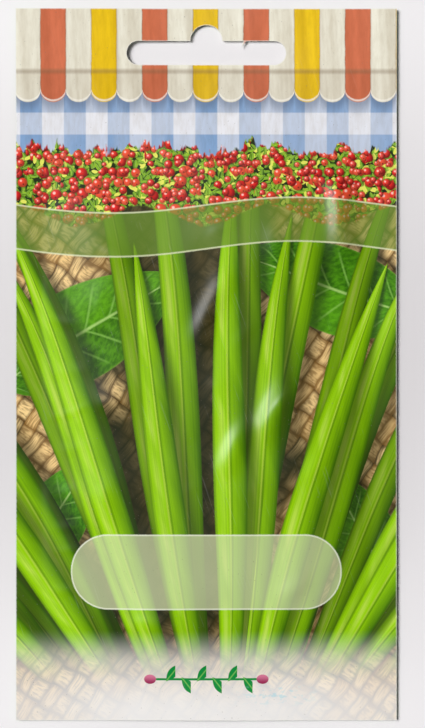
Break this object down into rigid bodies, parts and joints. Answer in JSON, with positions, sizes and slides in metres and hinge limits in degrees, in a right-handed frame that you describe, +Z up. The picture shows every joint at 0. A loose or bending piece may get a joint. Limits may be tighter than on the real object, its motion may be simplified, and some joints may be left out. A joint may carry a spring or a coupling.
{
  "type": "seed packet",
  "caption": "Flat sealed paper seed packet with a hanging slot in its header, filled with loose bean seeds and lying face up.",
  "frame": {"origin": "on the surface that the packet lies on, under the middle of the packet's width and height", "axes": "+Y along the packet towards its header and hanging slot, +X to the right of the printed front as it is read, +Z up out of the printed front"},
  "size_m": [0.0764, 0.143, 0.0064],
  "materials": {
    "front_print": "glossy laminated paper with a full-colour garden print, white at the cut edges",
    "back_print": "satin laminated paper, pale with plain green printed panels",
    "bean_coat": "smooth dry seed coat, cream and faintly mottled, with a slight sheen"
  },
  "bodies": {
    "root": {"front_panel": "front_print", "back_panel": "back_print", "bean_seed_01": "bean_coat", "bean_seed_02": "bean_coat", "bean_seed_03": "bean_coat", "bean_seed_04": "bean_coat", "bean_seed_05": "bean_coat", "bean_seed_06": "bean_coat", "bean_seed_07": "bean_coat", "bean_seed_08": "bean_coat", "bean_seed_09": "bean_coat", "bean_seed_10": "bean_coat", "bean_seed_11": "bean_coat", "bean_seed_12": "bean_coat", "bean_seed_13": "bean_coat", "bean_seed_14": "bean_coat", "bean_seed_15": "bean_coat", "bean_seed_16": "bean_coat", "bean_seed_17": "bean_coat", "bean_seed_18": "bean_coat"}
  },
  "joints": []
}
